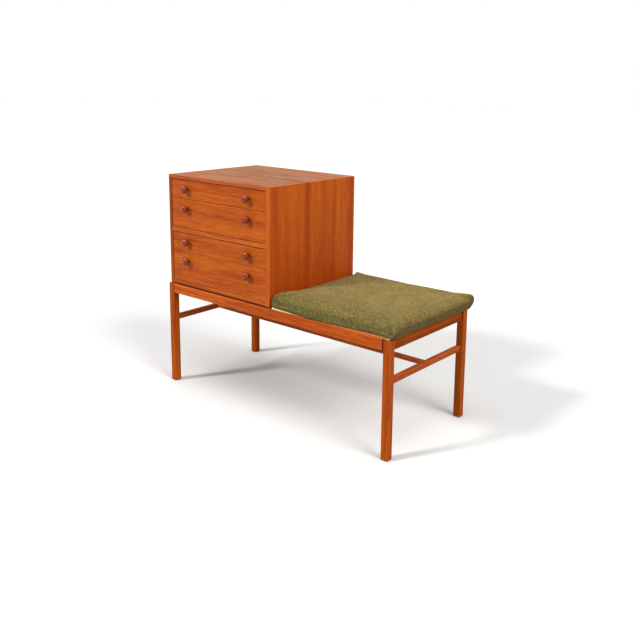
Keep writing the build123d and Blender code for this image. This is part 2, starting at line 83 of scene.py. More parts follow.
class BenchColours(bpy.types.PropertyGroup):
    """Colours of the bench's finishes."""
    teak_light: colour_prop("Light teak", "Early wood of the oiled teak", "#984809")
    teak_dark: colour_prop("Dark teak", "Late wood of the oiled teak", "#792e04")
    teak_streak: colour_prop("Teak streak", "Dark mineral streaks in the teak", "#561b03")
    faded_light: colour_prop("Light faded teak", "Early wood of the sun-bleached top", "#764a1b")
    faded_dark: colour_prop("Dark faded teak", "Late wood of the sun-bleached top", "#593614")
    # painted sheen: pale patches of reflected light on the bleached top
    faded_sheen_haze: colour_prop("Haze", "Dull, dry patches on the sun-bleached top", "#b58d7e")
    knob_brown: colour_prop("Knob", "Turned teak of the knobs, darker from handling", "#722b07")
    beech: colour_prop("Beech", "Drawer sides, runners and bearers", "#cfa778")
    birch: colour_prop("Birch ply", "Plywood faces", "#d8bf94")
    # browner colour on the seat board's front edge, between two places along X
    board_edge_tint: colour_prop("Stained edge", "Seat board's edge, where the oiled rail rubs it", "#a8602c")
    # darker, redder teak towards the bottom of the chest's right side
    teak_red: colour_prop("Red teak", "Teak low on the chest, which the light has not faded", "#7e2a05")
    # paler teak for rubbed edges and lipping, and the painted highlight along rounded edges
    pale_teak_and_highlight: colour_prop("Rubbed teak", "Edges and corners lightened by handling", "#c66d38")
    wool_light: colour_prop("Light yarn", "Loops of the wool on the sides", "#5e552d")
    wool_dark: colour_prop("Dark yarn", "Twists of the wool on the sides", "#2a250f")
    # lighter yarn on the top: worn by use, and partly painted light from above
    wool_worn_lit: colour_prop("Worn yarn", "Loops bleached and browned by use on the top", "#7e6b3b")
    wool_worn_lit_dark: colour_prop("Worn dark yarn", "Twists between the worn loops", "#4e4222")
    # darker, browner yarn on the cushion's right end: painted shade
    wool_shaded_end: colour_prop("Browned yarn", "Wool on the cushion's outer end", "#4b3014")
    # painted shade in the hollows between the loops
    wool_deep: colour_prop("Yarn hollows", "The dark gaps between the loops", "#2a2712")
    steel: colour_prop("Screw steel", "Zinc-plated screws", "#b9bab8")
    floor: colour_prop("Floor", "Plain pale floor", "#afaead")


class BenchSizes(bpy.types.PropertyGroup):
    """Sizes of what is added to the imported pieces."""
    knob_sides: bpy.props.IntProperty(name="Knob facets", description="Sides of a turned knob",
                                      default=56, min=12, max=96)
    screw_head: length_prop("Screw head", "Radius of a back panel screw's head", 3.6)
    screw_margin: length_prop("Screw margin", "Back panel screws from the panel's edge", 7.0)
    screw_rows: bpy.props.IntProperty(name="Screw rows", default=5, min=2, max=12,
                                      description="Screws up each side of the back panel")
    cushion_slack: length_prop("Cushion slack", "How much smaller the cushion starts than its space", 2.0)
    cushion_travel: length_prop("Cushion travel", "The most a point may move as the cushion fills", 5.0)
    cushion_voxel: length_prop("Cushion mesh", "Edge length of the cushion's mesh", 5.0)


# ---------------------------------------------------------------- materials
MIX_UNDER, MIX_OVER, MIX_RESULT = 6, 7, 2  # a Mix node's sockets when it mixes colours
RANDOM_LEAST, RANDOM_MOST, RANDOM_RESULT = 2, 3, 1  # a Random Value node's sockets for one number
GRAIN_TURNS = {
    "X": (0.0, 0.0, 0.0),
    "Y": (0.0, 0.0, math.radians(-90)),
    "Z": (0.0, math.radians(90), 0.0),
}
LOG_STEP = (1.37, 0.61, 0.83)  # metres between the places in the log that two seeds stand for
GRAIN_SWAY = 16 * MM  # how far the grain wanders from a straight line
HEART_REACH, HEART_CORE = 24 * MM, 2 * MM  # half-widths of a heartwood band and of its core
RED_FADE = 260 * MM  # the height over which the wood turns darker and redder
WORN_HIGHLIGHT_EDGE, SOFT_EDGE = 2.2 * MM, 0.9 * MM  # the rubbed edge with its painted highlight, and the rounding that the light sees
# how far the ambient occlusion reaches that paints shade into gaps: in the teak, and round a knob's neck
PAINTED_SHADE_REACH, KNOB_PAINTED_SHADE_REACH = 8 * MM, 9 * MM
MARK_EDGE, MARK_CORE = 3.4 * MM, 1.6 * MM  # radii of a dark spot
END_DARK_FROM, END_DARK_FULL = 4.5 * MM, 2.5 * MM  # the painted shade at a rail's end, from the leg's face
YARN_LOOP, YARN_CURL, WORN_PATCH = 5.0 * MM, 5.5 * MM, 70 * MM


def add_node(tree, kind, inputs=None, output=0, **settings):
    """Add a node with its settings and links, and give one of its outputs.

    An input is a value, or a socket to link from. A shader node's kind leaves out its first two words.
    """
    node = tree.nodes.new(kind if "Node" in kind else "ShaderNode" + kind)
    for name, value in settings.items():
        setattr(node, name, value)
    for key, value in (inputs or {}).items():
        if isinstance(value, bpy.types.NodeSocket):
            tree.links.new(value, node.inputs[key])
        else:
            node.inputs[key].default_value = value
    return node.outputs[output] if node.outputs else None


def new_material(name):
    """An empty material and its tree."""
    material = bpy.data.materials.new(name)
    material.use_nodes = True
    material.node_tree.nodes.clear()
    return material, material.node_tree


def finish_material(tree, colour, rough, normal=None, **sockets):
    """The surface shader and the output."""
    inputs = {"Base Color": colour, "Roughness": rough}
    if normal is not None:
        inputs["Normal"] = normal
    for name, value in sockets.items():
        inputs[name.replace("_", " ")] = value
    add_node(tree, "OutputMaterial", {"Surface": add_node(tree, "BsdfPrincipled", inputs)})


def surface(tree):
    """A point's place, its X, Y and Z apart, and those of the direction that the surface faces there."""
    place = add_node(tree, "TexCoord", output="Object")
    normal = add_node(tree, "NewGeometry", output="Normal")
    at = add_node(tree, "SeparateXYZ", {"Vector": place}).node.outputs
    facing = add_node(tree, "SeparateXYZ", {"Vector": normal}).node.outputs
    return place, at, facing


def shaded(colour, *shares):
    """A colour with its channels multiplied, all by one share or each by its own."""
    if len(shares) == 1:
        shares = shares * 3
    return (*(channel * share for channel, share in zip(colour, shares)), 1.0)


def layer(tree, base, colour, pattern, start=0.0, full=1.0, share=1.0):
    """A base with a colour over it: nothing where the pattern is at start, and its share at full."""
    amount = add_node(tree, "MapRange", {"Value": pattern, "From Min": start, "From Max": full,
                                         "To Max": share})
    return add_node(tree, "Mix", {"Factor": amount, MIX_UNDER: base, MIX_OVER: colour},
                    MIX_RESULT, data_type="RGBA")


def product(tree, *factors):
    """Several amounts multiplied."""
    result = factors[0]
    for factor in factors[1:]:
        result = add_node(tree, "Math", {0: result, 1: factor}, operation="MULTIPLY")
    return result


def grain_space(tree, grain, seed):
    """Object coordinates turned so that the grain runs along X, shifted to another place in the log."""
    place = add_node(tree, "TexCoord", output="Object")
    turned = add_node(tree, "Mapping", {"Vector": place, "Rotation": GRAIN_TURNS[grain]})
    shift = [seed * step for step in LOG_STEP]
    moved = add_node(tree, "VectorMath", {0: turned, 1: shift}, operation="ADD")
    wander = add_node(tree, "TexNoise", {"Vector": moved, "Scale": 3.0, "Detail": 1.0}, "Color")
    sway = add_node(tree, "VectorMath", {0: wander, 1: (0.0, GRAIN_SWAY, GRAIN_SWAY)}, operation="MULTIPLY")
    return add_node(tree, "VectorMath", {0: moved, 1: sway}, operation="ADD")


def grain_pattern(tree, space, along, across, start, full, detail=2.0, distortion=0.0):
    """Cells drawn out along the grain: nothing where their noise is at start, and all there at full."""
    scaled = add_node(tree, "VectorMath", {0: space, 1: (1 / along, 1 / across, 1 / across)},
                      operation="MULTIPLY")
    cells = add_node(tree, "TexNoise", {"Vector": scaled, "Scale": 1.0, "Detail": detail,
                                        "Roughness": 0.55, "Distortion": distortion})
    return add_node(tree, "MapRange", {"Value": cells, "From Min": start, "From Max": full})


def teak_figure(tree, space, depth, band, band_strength, line_strength, heart):
    """How much of the wood is dark late wood: wide bands, growth lines, hairlines and heartwood."""
    bands = grain_pattern(tree, space, 900 * MM, band, 0.32, 0.68, distortion=0.3)
    lines = grain_pattern(tree, space, 110 * MM, 5.5 * MM, 0.36, 0.64, detail=3.0)
    hairs = grain_pattern(tree, space, 40 * MM, 3.0 * MM, 0.38, 0.62)
    patterns = [(bands, band_strength, 0.5), (lines, line_strength * 0.85, 0.5),
                (hairs, line_strength * 0.55, 0.5)]
    for centre, strength in heart:
        aside = add_node(tree, "Math", {0: depth, 1: centre}, operation="SUBTRACT")
        away = add_node(tree, "Math", {0: aside}, operation="ABSOLUTE")
        inside = add_node(tree, "MapRange", {"Value": away, "From Min": HEART_REACH,
                                             "From Max": HEART_CORE})
        patterns.append((inside, strength, 0.06))
    # Each pattern's mean is taken off, so that a board keeps its tone whatever their strengths.
    late_wood = 0.5 - sum(strength * mean for _, strength, mean in patterns)
    for pattern, strength, _ in patterns:
        late_wood = add_node(tree, "Math", {0: pattern, 1: strength, 2: late_wood},
                             operation="MULTIPLY_ADD")
    return late_wood


def bleached(tree, wood, space, late_wood, depth, upward, start):
    """Teak whose upper face the sun has bleached in blotches, with patches of painted sheen, from a place
    along Y to the back.
    """
    colours = bpy.context.scene.bench_colours
    faded = layer(tree, colours.faded_light, colours.faded_dark, late_wood)
    # painted sheen: pale patches of reflected light
    sheen_spots = grain_pattern(tree, space, 90 * MM, 30 * MM, 0.42, 0.62, detail=3.0)
    faded = layer(tree, faded, colours.faded_sheen_haze, sheen_spots, share=0.14)
    blotches = add_node(tree, "TexNoise", {"Vector": space, "Scale": 1 / (90 * MM), "Detail": 4.0})
    patches = add_node(tree, "MapRange", {"Value": blotches, "From Min": 0.34, "From Max": 0.62,
                                          "To Min": 0.45})
    behind = add_node(tree, "MapRange", {"Value": depth, "From Min": start - 60 * MM,
                                         "From Max": start + 60 * MM})
    return layer(tree, wood, faded, product(tree, upward, patches, behind))


def teak(name, grain, seed, tone=1.0, band=26 * MM, band_strength=0.80, line_strength=0.60,
         streak_from=0.64, gloss=0.44, shine=0.08, faded_from=None, edge_wear_highlight=0.6, shade_seams=(),
         red_below=None, lipping=0.0, mark=None, heart=()):
    """Oiled teak: bands of early and late wood, fine growth lines, dark streaks and short open pores.

    The oil gives a satin surface that lightens at a low angle; pores are about 0.6 mm wide. Edges are
    rubbed lighter over about 2 mm, with a painted highlight on them, and painted shade darkens gaps
    narrower than about 5 mm. A faded board has a bleached, blotchy upper face, with patches of painted
    sheen, behind a place along Y. Each seam is an axis, and the places on it where painted shade at an
    end or edge starts and is full. Below a height the wood turns darker and redder, a board's front edge
    may have a paler solid lipping, and a mark is a small dark spot.
    Heart names places along Y where a veneer has a dark band of heartwood, and each band's strength.
    """
    colours = bpy.context.scene.bench_colours
    streak_brown = shaded(colours.teak_streak, tone)
    # the brown of painted shade in gaps, grooves and under edges, and of a real dark spot
    shade_and_spot_brown = shaded(colours.teak_streak, 0.6, 0.3, 0.3)
    material, tree = new_material(name)
    space = grain_space(tree, grain, seed)
    place, at, facing = surface(tree)
    late_wood = teak_figure(tree, space, at["Y"], band, band_strength, line_strength, heart)
    streaks = grain_pattern(tree, space, 500 * MM, 9 * MM, streak_from, 0.82, distortion=0.4)
    pores = grain_pattern(tree, space, 9 * MM, 0.6 * MM, 0.58, 0.70, detail=1.0)
    wood = layer(tree, shaded(colours.teak_light, tone), shaded(colours.teak_dark, tone), late_wood)
    if faded_from is not None:
        wood = bleached(tree, wood, space, late_wood, at["Y"], facing["Z"], faded_from)
    if red_below is not None:
        wood = layer(tree, wood, colours.teak_red, at["Z"], red_below, red_below - RED_FADE, share=0.55)
    if lipping:
        wood = layer(tree, wood, colours.pale_teak_and_highlight, facing["Y"], -0.6, -0.9, share=lipping)
    wood = layer(tree, wood, streak_brown, streaks, share=0.5)
    wood = layer(tree, wood, streak_brown, pores, share=0.45)
    # edges rubbed lighter, and a painted highlight where the rounded edge catches the light
    flat = add_node(tree, "NewGeometry", output="True Normal")
    rounded = add_node(tree, "Bevel", {"Radius": WORN_HIGHLIGHT_EDGE}, samples=4)
    flatness = add_node(tree, "VectorMath", {0: rounded, 1: flat}, "Value", operation="DOT_PRODUCT")
    wood = layer(tree, wood, colours.pale_teak_and_highlight, flatness, 0.995, 0.80, share=edge_wear_highlight)
    # painted shade in gaps and corners, from ambient occlusion
    open_sky = add_node(tree, "AmbientOcclusion", {"Distance": PAINTED_SHADE_REACH}, "AO", samples=8)
    wood = layer(tree, wood, shade_and_spot_brown, open_sky, 0.62, 0.20, share=0.95)
    # painted shade along seams: under a board's edge, above the chest bottom's lower edge and at a rail's
    # ends
    forward = add_node(tree, "MapRange", {"Value": facing["Y"], "From Min": -0.3, "From Max": -0.8})
    for axis, start, full in shade_seams:
        near = add_node(tree, "MapRange", {"Value": at[axis], "From Min": start, "From Max": full})
        wood = layer(tree, wood, shade_and_spot_brown, product(tree, near, forward) if axis == "Z" else near)
    if mark is not None:
        away = add_node(tree, "VectorMath", {0: place, 1: mark}, "Value", operation="DISTANCE")
        wood = layer(tree, wood, shade_and_spot_brown, away, MARK_EDGE, MARK_CORE)
    rough = add_node(tree, "MapRange", {"Value": late_wood, "To Min": gloss, "To Max": gloss + 0.12})
    soft_edge = add_node(tree, "Bevel", {"Radius": SOFT_EDGE}, samples=4)
    relief = add_node(tree, "Bump", {"Height": pores, "Strength": 0.25, "Distance": 0.15 * MM,
                                     "Normal": soft_edge}, invert=True)
    finish_material(tree, wood, rough, relief, IOR=1.5, Specular_IOR_Level=shine)
    return material


def end_shade_seams(axis, first, last):
    """The painted shade at a rail's ends, where it meets the faces of two legs."""
    return [(axis, face + inwards * END_DARK_FROM, face + inwards * END_DARK_FULL)
            for face, inwards in ((first, 1), (last, -1))]


def knob_teak():
    """Turned teak, darkened and polished by hands: close grain 1.6 mm wide and a clear soft highlight."""
    brown = bpy.context.scene.bench_colours.knob_brown
    material, tree = new_material("teak_turned_polished")
    space = grain_space(tree, "Y", 31.0)
    lines = grain_pattern(tree, space, 40 * MM, 1.6 * MM, 0.34, 0.68, detail=3.0)
    wood = layer(tree, brown, shaded(brown, 0.55), lines)
    # painted shade round the knob's neck, from ambient occlusion
    open_sky = add_node(tree, "AmbientOcclusion", {"Distance": KNOB_PAINTED_SHADE_REACH}, "AO", samples=8)
    wood = layer(tree, wood, shaded(brown, 0.15), open_sky, 0.85, 0.35)
    finish_material(tree, wood, 0.22, IOR=1.42, Specular_IOR_Level=0.6, Specular_Tint=linear("#ffaf9e"))
    return material


def beech(name, grain, seed):
    """Sanded beech: close, faint grain with short flecks, and a dry, matt surface."""
    pale = bpy.context.scene.bench_colours.beech
    darker = shaded(pale, 0.82)
    material, tree = new_material(name)
    space = grain_space(tree, grain, seed)
    lines = grain_pattern(tree, space, 120 * MM, 3 * MM, 0.35, 0.68, detail=3.0)
    flecks = grain_pattern(tree, space, 3 * MM, 0.6 * MM, 0.62, 0.74, detail=1.0)
    wood = layer(tree, pale, darker, lines)
    wood = layer(tree, wood, darker, flecks, share=0.35)
    relief = add_node(tree, "Bump", {"Height": lines, "Strength": 0.15, "Distance": 0.1 * MM})
    finish_material(tree, wood, 0.62, relief, IOR=1.5)
    return material


def plywood(name, axis, ply, tinted_span=None):
    """Birch plywood: veneers of even thickness whose edges show as pale and darker stripes.

    The front edge may be browner between two places along X.
    """
    colours = bpy.context.scene.bench_colours
    material, tree = new_material(name)
    _, at, facing = surface(tree)
    wave = add_node(tree, "Math", {0: product(tree, at[axis], math.pi / ply)}, operation="SINE")
    stripe = add_node(tree, "MapRange", {"Value": wave, "From Min": -0.2, "From Max": 0.2})
    space = grain_space(tree, "X", 3.0)
    lines = grain_pattern(tree, space, 150 * MM, 5 * MM, 0.35, 0.7, detail=3.0)
    figure = grain_pattern(tree, space, 500 * MM, 45 * MM, 0.36, 0.64, detail=3.0, distortion=1.2)
    striped = add_node(tree, "Math", {0: lines, 1: 0.4, 2: stripe}, operation="MULTIPLY_ADD")
    wood = layer(tree, colours.birch, shaded(colours.birch, 0.80), striped, share=0.6)
    veined = product(tree, figure, lines)
    wood = layer(tree, wood, shaded(colours.birch, 0.74, 0.62, 0.48), veined, share=0.7)
    if tinted_span:
        first, last = tinted_span
        # a browner front edge between two places along X
        oiled = [add_node(tree, "MapRange", {"Value": value, "From Min": start, "From Max": full})
                 for value, start, full in ((facing["Y"], -0.5, -0.9), (at["X"], first - 40 * MM, first),
                                            (at["X"], last + 10 * MM, last))]
        wood = layer(tree, wood, colours.board_edge_tint, product(tree, *oiled))
    finish_material(tree, wood, 0.66, IOR=1.5)
    return material


def zinc_steel():
    """Zinc-plated steel: grey, softly shining, mottled by spots about 1 mm across."""
    steel = bpy.context.scene.bench_colours.steel
    material, tree = new_material("zinc_plated_steel")
    place = add_node(tree, "TexCoord", output="Object")
    spots = add_node(tree, "TexNoise", {"Vector": place, "Scale": 0.9 / MM, "Detail": 3.0})
    rough = add_node(tree, "MapRange", {"Value": spots, "To Min": 0.28, "To Max": 0.45})
    finish_material(tree, layer(tree, steel, linear("#8f908e"), spots), rough, Metallic=1.0)
    return material


def wool():
    """Woven wool with a curled yarn: matt loops, lighter brown-olive on top, where worn and as painted
    light from above, and darker grey-green on the sides, with painted shade in the hollows and on the right
    end.

    The real loops are about 3 mm apart; they are drawn 5 mm apart so that they show in the render.
    """
    colours = bpy.context.scene.bench_colours
    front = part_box("seat_cushion")[0].y
    material, tree = new_material("olive_wool_boucle")
    place, at, facing = surface(tree)
    loops = add_node(tree, "TexVoronoi", {"Vector": place, "Scale": 1 / YARN_LOOP}, feature="SMOOTH_F1")
    curls = add_node(tree, "TexNoise", {"Vector": place, "Scale": 1 / YARN_CURL, "Detail": 6.0,
                                        "Roughness": 0.72, "Distortion": 0.4})
    clouds = add_node(tree, "TexNoise", {"Vector": place, "Scale": 1 / WORN_PATCH, "Detail": 3.0,
                                         "Roughness": 0.55})
    tips = add_node(tree, "MapRange", {"Value": curls, "From Min": 0.34, "From Max": 0.66})
    side_yarn = layer(tree, colours.wool_dark, colours.wool_light, tips)
    # painted shade: darker, browner yarn on faces towards the right end
    side_yarn = layer(tree, side_yarn, colours.wool_shaded_end, facing["X"], 0.2, 0.8, share=0.30)
    # the top's yarn: worn by use and lighter as painted light from above, less of it towards the front
    worn_lit_yarn = layer(tree, colours.wool_worn_lit_dark, colours.wool_worn_lit, tips)
    upward = add_node(tree, "MapRange", {"Value": facing["Z"], "From Min": 0.30})
    patchy = add_node(tree, "MapRange", {"Value": clouds, "From Min": 0.34, "From Max": 0.66,
                                         "To Min": 0.55})
    worn_lit_from_front = add_node(tree, "MapRange", {"Value": at["Y"], "From Min": front + 10 * MM,
                                         "From Max": front + 120 * MM, "To Min": 0.4})
    yarn = layer(tree, side_yarn, worn_lit_yarn, product(tree, upward, patchy, worn_lit_from_front))
    # painted shade in the hollows between loops, deeper on the sides than on the top
    hollow = add_node(tree, "MapRange", {"Value": loops, "From Min": 0.30, "From Max": 0.85})
    shade = add_node(tree, "MapRange", {"Value": upward, "To Min": 0.60, "To Max": 0.40})
    yarn = layer(tree, yarn, colours.wool_deep, product(tree, hollow, shade))
    height = add_node(tree, "Math", {0: curls, 1: hollow}, operation="SUBTRACT")
    relief = add_node(tree, "Bump", {"Height": height, "Strength": 0.7, "Distance": 1.0 * MM})
    finish_material(tree, yarn, 0.92, relief, IOR=1.45, Sheen_Weight=0.02, Sheen_Roughness=0.5,
                    Specular_IOR_Level=0.05)
    return material


def dress(material, *nodes):
    """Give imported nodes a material."""
    for name in nodes:
        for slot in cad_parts[name].material_slots:
            slot.link = "OBJECT"
            slot.material = material


# ---------------------------------------------------------------- mesh helpers
SHARP_ANGLE = math.radians(40)


def finish_mesh(form, name):
    """A mesh of an edited form, its faces turned outward."""
    bmesh.ops.recalc_face_normals(form, faces=form.faces)
    mesh = bpy.data.meshes.new(name)
    form.to_mesh(mesh)
    form.free()
    return mesh


def link_object(name, data):
    """A new object of a mesh, a light or a camera, linked to the scene."""
    item = bpy.data.objects.new(name, data)
    bpy.context.scene.collection.objects.link(item)
    return item


def evaluated_mesh(item):
    """A plain mesh of an object, with its modifiers applied."""
    bpy.context.view_layer.update()
    evaluated = item.evaluated_get(bpy.context.evaluated_depsgraph_get())
    return bpy.data.meshes.new_from_object(evaluated)


def finish_piece(piece, material, body):
    """Give a finished piece its material and let it ride on a body."""
    piece.data.materials.clear()
    piece.data.materials.append(material)
    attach(piece, body)


def lathe(profile, sides):
    """A closed turned form about the Y axis: profile gives radius and reach to the front."""
    form = bmesh.new()
    turns = [2 * math.pi * k / sides for k in range(sides)]
    rings = []
    for radius, reach in profile:
        places = [(radius * math.cos(t), -reach, radius * math.sin(t)) for t in turns]
        rings.append([form.verts.new(place) for place in (places if radius else [(0, -reach, 0)])])
    for lower, upper in zip(rings, rings[1:]):
        for k in range(sides):
            after = (k + 1) % sides
            corners = [lower[k % len(lower)], lower[after % len(lower)],
                       upper[after % len(upper)], upper[k % len(upper)]]
            form.faces.new(list(dict.fromkeys(corners)))
    return form


def copies_tree():
    """A Geometry Nodes tree that puts a copy at each point, each turned by chance about Y."""
    tree = bpy.data.node_groups.new("copies_on_points", "GeometryNodeTree")
    for name, kind in (("Geometry", "Geometry"), ("Copy", "Object"), ("Most turn", "Float"),
                       ("Seed", "Int"), ("Finish", "Material")):
        tree.interface.new_socket(name, in_out="INPUT", socket_type="NodeSocket" + kind)
    tree.interface.new_socket("Geometry", in_out="OUTPUT", socket_type="NodeSocketGeometry")
    given = tree.nodes.new("NodeGroupInput").outputs
    form = add_node(tree, "GeometryNodeObjectInfo", {"Object": given["Copy"]}, "Geometry")
    turn = add_node(tree, "FunctionNodeRandomValue",
                    {RANDOM_LEAST: 0.0, RANDOM_MOST: given["Most turn"], "Seed": given["Seed"]},
                    RANDOM_RESULT, data_type="FLOAT")
    angles = add_node(tree, "CombineXYZ", {"Y": turn})
    placed = add_node(tree, "GeometryNodeInstanceOnPoints",
                      {"Points": given["Geometry"], "Instance": form, "Rotation": angles})
    real = add_node(tree, "GeometryNodeRealizeInstances", {"Geometry": placed})
    finish = add_node(tree, "GeometryNodeSetMaterial", {"Geometry": real, "Material": given["Finish"]})
    add_node(tree, "NodeGroupOutput", {"Geometry": finish})
    return tree


def copies(name, form_mesh, points, most_turn, seed, material, body):
    """Copies of a form at points, made one mesh that rides on a body."""
    form = link_object(name + "_form", form_mesh)
    point_mesh = bpy.data.meshes.new(name + "_points")
    point_mesh.from_pydata([tuple(point) for point in points], [], [])
    carrier = link_object(name + "_points", point_mesh)
    tree = bpy.data.node_groups.get("copies_on_points") or copies_tree()
    modifier = carrier.modifiers.new("copies", "NODES")
    modifier.node_group = tree
    values = {"Copy": form, "Most turn": most_turn, "Seed": seed, "Finish": material}
    for item in tree.interface.items_tree:
        if item.in_out == "INPUT" and item.name in values:
            modifier[item.identifier] = values[item.name]
    mesh = evaluated_mesh(carrier)
    mesh.name = name
    for helper in (carrier, form):
        bpy.data.objects.remove(helper)
    mesh.shade_smooth()
    mesh.set_sharp_from_angle(angle=SHARP_ANGLE)
    piece = link_object(name, mesh)
    finish_piece(piece, material, body)
    return piece


# ---------------------------------------------------------------- woodwork
NARROW_BAND, WIDE_BAND = 18 * MM, 32 * MM  # late wood's bands in bars, and in the side's veneer
# Dark bands of heartwood in the right side's veneer: their places along Y, and their strengths.
SIDE_HEART = [(-182 * MM, 0.25), (-125 * MM, 0.25), (-30 * MM, 0.55), (46 * MM, 0.25),
              (108 * MM, 0.3), (202 * MM, 0.4)]
RED_HEIGHT = 660 * MM  # the chest's right side is redder below this
# Each drawer front's place in the log, and its tone.
FRONT_FINISHES = {
    "drawer_1": (13.1, 1.04),
    "drawer_2": (14.9, 1.02),
    "drawer_3": (16.2, 0.95),
    "drawer_4": (18.6, 1.01),
}
SHADED_FRONTS = ("drawer_1", "drawer_3")  # a board shades their upper edges
EDGE_DARK_FROM, EDGE_DARK_FULL = 2.6 * MM, 1.2 * MM  # painted shade below the front's upper edge
BASE_DARK_FROM, BASE_DARK_FULL = 3.0 * MM, 1.2 * MM  # painted shade above the bottom board's lower edge
FRONT_MARKS = {"drawer_4": (-311 * MM, 459 * MM)}  # a dark spot, along X and Z
SEAT_TINT_SPAN = (120 * MM, 462 * MM)  # where along X the seat board's front edge is browner
DRAWER_PLY, BACK_PLY, SEAT_PLY = 1.3 * MM, 1.7 * MM, 2.0 * MM  # thickness of one veneer


class BENCH_OT_woodwork(bpy.types.Operator):
    """Give the frame, the chest and the drawers their wood finishes"""
    bl_idname = "bench.woodwork"
    bl_label = "Woodwork"

    def execute(self, context):
        dress_frame()
        dress_chest()
        for drawer in DRAWERS:
            dress_drawer_front(drawer)
        lengthwise = beech("beech_lengthwise", "Y", 21.0)
        crosswise = beech("beech_crosswise", "X", 23.0)
        thin_ply = plywood("birch_ply_4mm", "Z", DRAWER_PLY)
        for drawer in DRAWERS:
            dress(lengthwise, f"{drawer}_side_left", f"{drawer}_side_right", f"{drawer}_runners")
            dress(crosswise, f"{drawer}_back")
            dress(thin_ply, f"{drawer}_bottom")
        dress(lengthwise, "cabinet_bearer_left", "cabinet_bearer_right", "seat_bearer", "seat_battens")
        dress(plywood("birch_ply_back", "Y", BACK_PLY), "cabinet_back")
        dress(plywood("birch_ply_seat", "Z", SEAT_PLY, SEAT_TINT_SPAN), "seat_board")
        dress(zinc_steel(), "cabinet_screws")
        return {"FINISHED"}


def dress_frame():
    """Teak for the legs, rails and stretchers, each kind in its own tone; the darker back legs and end
    rails are partly painted shade.
    """
    left_leg, right_leg, back_leg = (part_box(f"leg_{corner}")
                                     for corner in ("front_left", "front_right", "back_right"))
    long_ends = end_shade_seams("X", left_leg[1].x, right_leg[0].x)
    short_ends = end_shade_seams("Y", right_leg[1].y, back_leg[0].y)
    dress(teak("teak_front_legs", "Z", 1.0, tone=0.91, band=NARROW_BAND, shine=0.04),
          "leg_front_left", "leg_front_right")
    # the back legs' lower tone is partly painted shade, of the shade beneath the bench
    dress(teak("teak_back_legs", "Z", 1.9, tone=0.73, band=NARROW_BAND, shine=0.04),
          "leg_back_left", "leg_back_right")
    dress(teak("teak_long_rails", "X", 2.3, tone=1.07, band=NARROW_BAND, line_strength=0.8,
               edge_wear_highlight=0.9, shade_seams=long_ends), "front_rail", "back_rail")
    # the end rails' lower tone is partly painted shade, under the cushion's overhang
    dress(teak("teak_end_rails", "Y", 3.1, tone=0.63, band=NARROW_BAND, shine=0.02, shade_seams=short_ends),
          "end_rail_left", "end_rail_right")
    dress(teak("teak_long_stretcher", "X", 4.3, tone=0.95, band=NARROW_BAND), "long_stretcher")
    dress(teak("teak_end_stretchers", "Y", 5.1, tone=0.95, band=NARROW_BAND),
          "end_stretcher_left", "end_stretcher_right")


def dress_chest():
    """Teak for the chest's own boards, with the bleached top and the banded right side."""
    top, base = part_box("cabinet_top")[0].y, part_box("cabinet_bottom")[0].z
    dress(teak("teak_veneer_side_left", "Z", 5.7, tone=0.66, edge_wear_highlight=0.1), "cabinet_side_left")
    dress(teak("teak_veneer_side_right", "Z", 7.2, band=WIDE_BAND, band_strength=0.55,
               line_strength=0.42, shine=0.05, red_below=RED_HEIGHT, lipping=0.12, heart=SIDE_HEART),
          "cabinet_side_right")
    dress(teak("teak_veneer_top", "X", 9.4, gloss=0.46, shine=0.2, band_strength=0.5, line_strength=0.55,
               streak_from=0.72, faded_from=top), "cabinet_top")
    # the divider's higher tone is partly a painted highlight on its front edge
    dress(teak("teak_divider", "X", 11.8, tone=1.14, lipping=0.1, edge_wear_highlight=0.9), "cabinet_divider")
    dress(teak("teak_bottom", "X", 12.6, tone=0.93, edge_wear_highlight=0.9,
               shade_seams=[("Z", base + BASE_DARK_FROM, base + BASE_DARK_FULL)]), "cabinet_bottom")


def dress_drawer_front(drawer):
    """Teak for a drawer's front, with its own tone, painted shade below its upper edge if a board shades
    it, and its mark.
    """
    seed, tone = FRONT_FINISHES[drawer]
    low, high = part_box(f"{drawer}_front")
    edge, mark = (), None
    if drawer in SHADED_FRONTS:
        edge = [("Z", high.z - EDGE_DARK_FROM, high.z - EDGE_DARK_FULL)]
    if drawer in FRONT_MARKS:
        x, z = FRONT_MARKS[drawer]
        mark = (x, low.y, z)
    dress(teak(f"teak_front_{drawer}", "X", seed, tone=tone, band_strength=0.62, line_strength=0.68,
               streak_from=0.68, shade_seams=edge, mark=mark), f"{drawer}_front")


# ---------------------------------------------------------------- knobs and screws
# Outlines as shares of the greatest radius and of the reach, and the widest place of a knob's head.
KNOB_STEM = [(0, 0), (0.48, 0), (0.49, 0.03), (0.45, 0.09), (0.41, 0.18), (0.41, 0.25), (0.45, 0.31)]
KNOB_WIDEST = 0.653
KNOB_HEAD_FROM, KNOB_HEAD_TURN, KNOB_HEAD_STEPS = -64, 154, 16  # degrees
SCREW_PROFILE = [(0, 1), (0.5, 0.95), (0.8, 0.75), (1, 0.3), (1, 0), (0, 0)]
SCREW_SIDES = 20
SLOT_HALF_WIDTH, SLOT_DEPTH = 0.22, 0.45  # shares of a screw head's radius and height
KNOB_SCREW_RADIUS, KNOB_SCREW_HEIGHT = 4.0 * MM, 1.8 * MM
BACK_SCREW_HEIGHT = 1.5 * MM
SIDE_MARGIN = 0.6  # the back screws' margin at the sides, as a share of that above
KNOB_SCREW_SEED, BACK_SCREW_SEED = 5, 3


